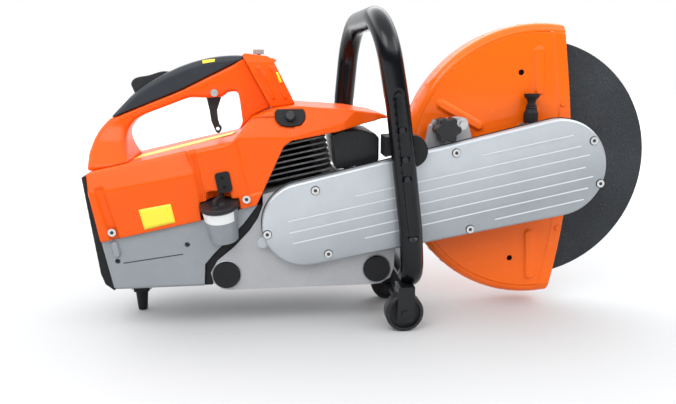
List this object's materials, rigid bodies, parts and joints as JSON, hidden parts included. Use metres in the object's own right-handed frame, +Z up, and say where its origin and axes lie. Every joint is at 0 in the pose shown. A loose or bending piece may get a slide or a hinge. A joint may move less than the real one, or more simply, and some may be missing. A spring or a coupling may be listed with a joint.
{
  "type": "rescue saw",
  "caption": "Petrol rescue cut-off saw with an abrasive wheel, tilting guard, belt drive arm, wrap-round front handle and closed rear handle.",
  "frame": {"origin": "on the ground under the middle of the machine's box", "axes": "+X forward to the cutting wheel, +Y to the machine's left, +Z up"},
  "size_m": [0.8, 0.261, 0.4295],
  "materials": {
    "orange_plastic": "glossy moulded",
    "orange_paint": "glossy paint",
    "silver_tank": "silver paint on plastic",
    "silver_cast": "silver paint on a casting",
    "silver_cover": "satin silver paint",
    "steel": "zinc plated",
    "machined": "machined",
    "black_rubber": "matt",
    "soft_grip": "fine textured",
    "black_sleeve": "satin",
    "black_plastic": "fine textured",
    "black_metal": "heatproof black",
    "black_fins": "black-painted casting, rubbed bare along the fins' rims",
    "grey_plastic": "moulded",
    "abrasive": "bonded grit",
    "yellow_zinc": "yellow zinc plate",
    "paper": "pleated paper",
    "nylon": "braided"
  },
  "bodies": {
    "frame": {"air_filter": "paper", "arm": "silver_cast", "ball_bearings": "steel", "belt_cover": "silver_cover", "buffer_mounts": "black_rubber", "carburettor": "machined", "carburettor_plug": "black_rubber", "case_plugs": "black_rubber", "clutch": "steel", "connecting_rod": "steel", "crankcase": "silver_cast", "crankshaft": "steel", "cylinder": "black_fins", "decompression_plate": "black_rubber", "drive_belt": "black_rubber", "filter_cover": "orange_plastic", "flywheel": "machined", "foot_bracket": "yellow_zinc", "front_handle": "black_sleeve", "fuel_tank": "silver_tank", "gap_seal": "black_rubber", "guard_bracket": "silver_cast", "handle_grip": "soft_grip", "hex_bolts": "steel", "muffler": "black_metal", "panel_screws": "steel", "piston": "machined", "rear_bumper": "black_rubber", "rear_foot": "black_rubber", "rear_handle": "orange_plastic", "spark_plug": "black_rubber", "starter_cover": "orange_plastic", "top_housing": "orange_plastic", "trigger_pin": "steel", "wheel_bracket": "black_metal"},
    "wheel_guard": {"guard_band": "orange_paint", "guard_side_near": "orange_paint", "guard_side_far": "orange_paint", "guard_rivets": "orange_paint", "water_elbow": "machined", "water_boot": "black_rubber"},
    "spindle": {"cutting_wheel": "abrasive", "arbor_shaft": "steel", "outer_flange": "steel", "arbor_bolt": "steel", "driven_pulley": "machined"},
    "drum": {"clutch_drum": "steel"},
    "fuel_cap": {"fuel_cap": "black_plastic"},
    "star_knob": {"star_knob": "black_plastic"},
    "trigger": {"throttle_trigger": "black_plastic"},
    "throttle_lock": {"throttle_lock": "black_plastic"},
    "decompression_button": {"decompression_button": "black_plastic"},
    "wheel_near": {"guide_wheel_near": "black_plastic"},
    "wheel_far": {"guide_wheel_far": "black_plastic"},
    "pull_grip": {"starter_grip": "black_plastic", "starter_rope": "nylon"},
    "reel": {"starter_reel": "grey_plastic"},
    "choke": {"choke_lever": "black_plastic"},
    "stop": {"stop_switch": "black_plastic"},
    "cover_screw": {"filter_cover_screw": "grey_plastic"}
  },
  "joints": [
    {"name": "wheel_spin", "type": "hinge", "parent": "frame", "child": "spindle", "pos_m": [0.225, 0, 0.214], "axis": [0, 1, 0], "continuous": true},
    {"name": "drum_spin", "type": "hinge", "parent": "frame", "child": "drum", "pos_m": [-0.113, 0, 0.1455], "axis": [0, 1, 0], "continuous": true},
    {"name": "guard_tilt", "type": "hinge", "parent": "frame", "child": "wheel_guard", "pos_m": [0.225, 0, 0.214], "axis": [0, 1, 0], "range_deg": [-20, 35]},
    {"name": "throttle", "type": "hinge", "parent": "frame", "child": "trigger", "pos_m": [-0.231, -0.0035, 0.316], "axis": [0, 1, 0], "range_deg": [0, 20], "stiffness_Nm_per_rad": 0.3},
    {"name": "lock_press", "type": "hinge", "parent": "frame", "child": "throttle_lock", "pos_m": [-0.29, -0.0035, 0.337], "axis": [0, -1, 0], "range_deg": [0, 11], "stiffness_Nm_per_rad": 0.4},
    {"name": "decompression_press", "type": "slide", "parent": "frame", "child": "decompression_button", "axis": [0, 0.9152, -0.4031], "range_m": [0, 0.004], "stiffness_N_per_m": 900},
    {"name": "fuel_cap_turn", "type": "hinge", "parent": "frame", "child": "fuel_cap", "pos_m": [-0.224, -0.094, 0.171], "axis": [-0.0901, -0.2203, 0.9713], "range_deg": [0, 90]},
    {"name": "star_knob_turn", "type": "hinge", "parent": "frame", "child": "star_knob", "pos_m": [0.08, -0.08, 0.268], "axis": [0, -1, 0], "range_deg": [0, 270]},
    {"name": "cover_screw_turn", "type": "hinge", "parent": "frame", "child": "cover_screw", "pos_m": [-0.17, -0.0035, 0.371], "axis": [0, 0, 1], "range_deg": [0, 270]},
    {"name": "near_wheel_spin", "type": "hinge", "parent": "frame", "child": "wheel_near", "pos_m": [0.019, -0.114, 0.026], "axis": [0, 1, 0], "continuous": true},
    {"name": "far_wheel_spin", "type": "hinge", "parent": "frame", "child": "wheel_far", "pos_m": [0.019, 0.011, 0.026], "axis": [0, 1, 0], "continuous": true},
    {"name": "starter_pull", "type": "slide", "parent": "frame", "child": "pull_grip", "axis": [0, 0, 1], "range_m": [0, 0.5], "stiffness_N_per_m": 15, "deforming": ["starter_rope"]},
    {"name": "reel_spin", "type": "hinge", "parent": "frame", "child": "reel", "pos_m": [-0.113, 0.102, 0.1455], "axis": [0, 1, 0], "range_deg": [0, 860]},
    {"name": "choke_turn", "type": "hinge", "parent": "frame", "child": "choke", "pos_m": [-0.235, 0.088, 0.214], "axis": [0, 1, 0], "range_deg": [0, 40]},
    {"name": "stop_slide", "type": "slide", "parent": "frame", "child": "stop", "axis": [1, 0, 0], "range_m": [-0.006, 0.006]}
  ],
  "couplings": [
    {"joint": "drum_spin", "follows": "wheel_spin", "ratio": 1.9286},
    {"joint": "reel_spin", "follows": "starter_pull", "rad_per_m": 29.412}
  ]
}
